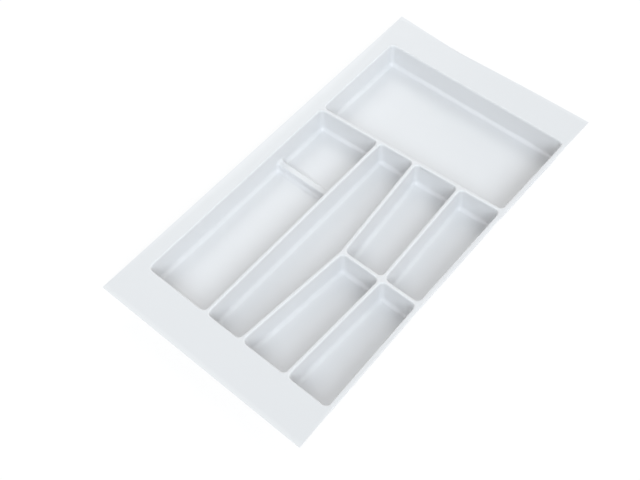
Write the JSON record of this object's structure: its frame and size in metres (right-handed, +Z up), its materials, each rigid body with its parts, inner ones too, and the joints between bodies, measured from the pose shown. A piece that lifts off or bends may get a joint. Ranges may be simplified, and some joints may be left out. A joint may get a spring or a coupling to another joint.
{
  "type": "cutlery tray",
  "caption": "Shallow white formed-plastic drawer insert: a flat flange round straight and tapered wells for cutlery, with one wide well lying across the rear end.",
  "frame": {"origin": "on the surface that the wells stand on, under the middle of the flange", "axes": "+X towards the narrow side flange, +Y towards the end with the well that lies across, +Z up"},
  "size_m": [0.2626, 0.4916, 0.0324],
  "materials": {
    "tray_plastic": "satin, cool white, formed from one sheet"
  },
  "bodies": {
    "root": {"flange_deck": "tray_plastic", "rear_pan": "tray_plastic", "left_pan": "tray_plastic", "long_pan": "tray_plastic", "middle_rear_pan": "tray_plastic", "middle_front_pan": "tray_plastic", "right_rear_pan": "tray_plastic", "right_front_pan": "tray_plastic"}
  },
  "joints": []
}
